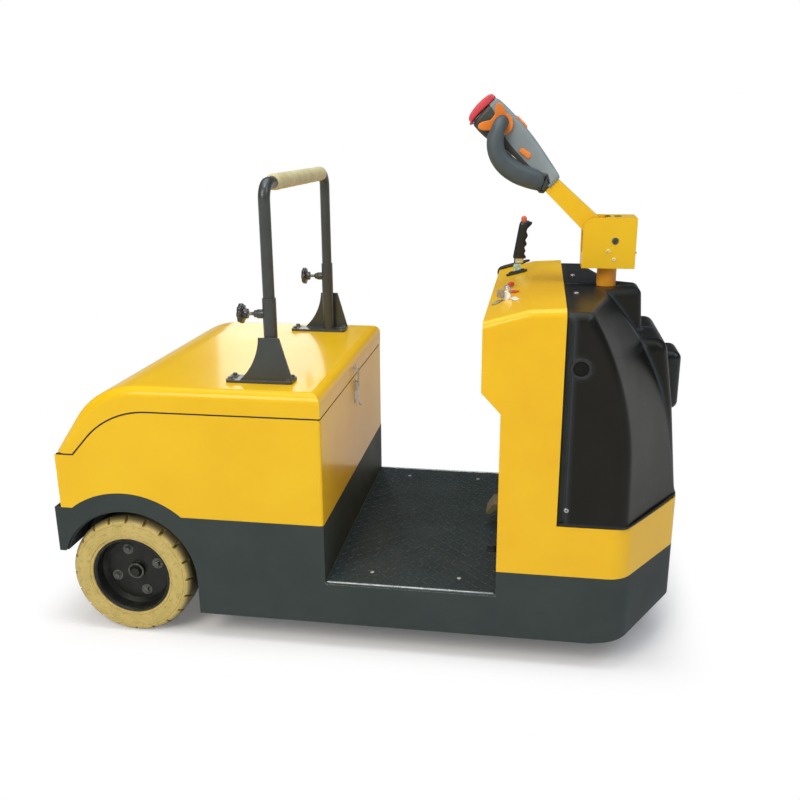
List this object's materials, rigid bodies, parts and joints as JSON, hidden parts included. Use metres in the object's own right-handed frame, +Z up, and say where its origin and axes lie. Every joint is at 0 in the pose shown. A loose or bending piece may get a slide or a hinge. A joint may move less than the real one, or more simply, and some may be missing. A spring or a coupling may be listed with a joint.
{
  "type": "stand-on electric tow tractor",
  "caption": "Stand-on three-wheel electric tow tractor: battery box with hinged lid and backrest, low platform, console, swivelling drive unit with tiller, rear tow jaw.",
  "frame": {"origin": "on the ground under the middle of the vehicle's length and width", "axes": "+X forward, towards the head lamp; +Y to the driver's left; +Z up"},
  "size_m": [1.938, 0.96, 1.6115],
  "materials": {
    "yellow_paint": "powder coated",
    "grey_paint": "powder coated",
    "black_cover": "moulded gloss",
    "tyre_compound": "moulded non-marking compound",
    "rim_paint": "painted",
    "dark_steel": "painted",
    "bare_steel": "machined",
    "bright_stud": "plated",
    "cream_grip": "moulded sleeve",
    "head_grey": "moulded, fine grain",
    "handle_grey": "moulded, soft",
    "orange_plastic": "moulded",
    "red_plastic": "moulded",
    "black_plastic": "moulded",
    "seal_rubber": "extruded",
    "lamp_glass": "clear",
    "battery_case": "painted",
    "drive_iron": "painted",
    "drive_tread": "moulded compound",
    "anti_slip": "chequered mat"
  },
  "bodies": {
    "chassis": {"chassis_frame": "grey_paint", "wheelhouses": "grey_paint", "rear_axle": "dark_steel", "battery_box": "yellow_paint", "lid_seal": "seal_rubber", "battery": "battery_case", "platform_plate": "anti_slip", "front_body": "yellow_paint", "cover_right": "black_cover", "cover_left": "black_cover", "head_lamp": "black_plastic", "head_lamp_lens": "lamp_glass", "handbrake_grip": "black_plastic", "handbrake_shaft": "bare_steel", "key_switch": "red_plastic", "foot_pedal": "yellow_paint", "latch": "bare_steel", "hinge_leaves": "dark_steel", "tow_plate": "dark_steel", "tow_jaw": "dark_steel"},
    "lid": {"lid": "yellow_paint", "lid_knuckles": "dark_steel", "latch_keeper": "bare_steel", "backrest_brackets": "dark_steel", "clamp_studs": "bright_stud", "clamp_knobs": "black_plastic"},
    "backrest": {"backrest_bar": "dark_steel", "backrest_grip": "cream_grip"},
    "wheel_right": {"tyre_right": "tyre_compound", "rim_right": "rim_paint"},
    "wheel_left": {"tyre_left": "tyre_compound", "rim_left": "rim_paint"},
    "steering": {"drive_gearbox": "drive_iron", "drive_motor": "drive_iron", "steering_column": "yellow_paint", "tiller_housing": "yellow_paint"},
    "drive_wheel": {"drive_wheel": "drive_tread", "drive_hub": "drive_iron"},
    "tiller": {"tiller_arm": "yellow_paint", "head_upper": "head_grey", "head_lower": "handle_grey", "head_handles": "handle_grey", "reverse_button": "red_plastic", "butterflies": "orange_plastic"},
    "tow_pin": {"tow_pin": "bare_steel"}
  },
  "joints": [
    {"name": "lid_hinge", "type": "hinge", "parent": "chassis", "child": "lid", "pos_m": [-0.893, 0, 0.5865], "axis": [0, -1, 0], "range_deg": [0, 75]},
    {"name": "backrest_slide", "type": "slide", "parent": "lid", "child": "backrest", "axis": [0, 0, 1], "range_m": [-0.1, 0.07]},
    {"name": "rear_wheel_right_spin", "type": "hinge", "parent": "chassis", "child": "wheel_right", "pos_m": [-0.68, -0.421, 0.1925], "axis": [0, 1, 0], "continuous": true},
    {"name": "rear_wheel_left_spin", "type": "hinge", "parent": "chassis", "child": "wheel_left", "pos_m": [-0.68, 0.421, 0.1925], "axis": [0, 1, 0], "continuous": true},
    {"name": "steering_turn", "type": "hinge", "parent": "chassis", "child": "steering", "pos_m": [0.735, 0, 0.3], "axis": [0, 0, 1], "range_deg": [-85, 85]},
    {"name": "drive_wheel_spin", "type": "hinge", "parent": "steering", "child": "drive_wheel", "pos_m": [0.735, 0, 0.125], "axis": [0, 1, 0], "continuous": true},
    {"name": "tiller_tilt", "type": "hinge", "parent": "steering", "child": "tiller", "pos_m": [0.75, 0, 1.19], "axis": [0, 1, 0], "range_deg": [-20, 4]},
    {"name": "tow_pin_lift", "type": "slide", "parent": "chassis", "child": "tow_pin", "axis": [0, 0, 1], "range_m": [0, 0.09]}
  ]
}
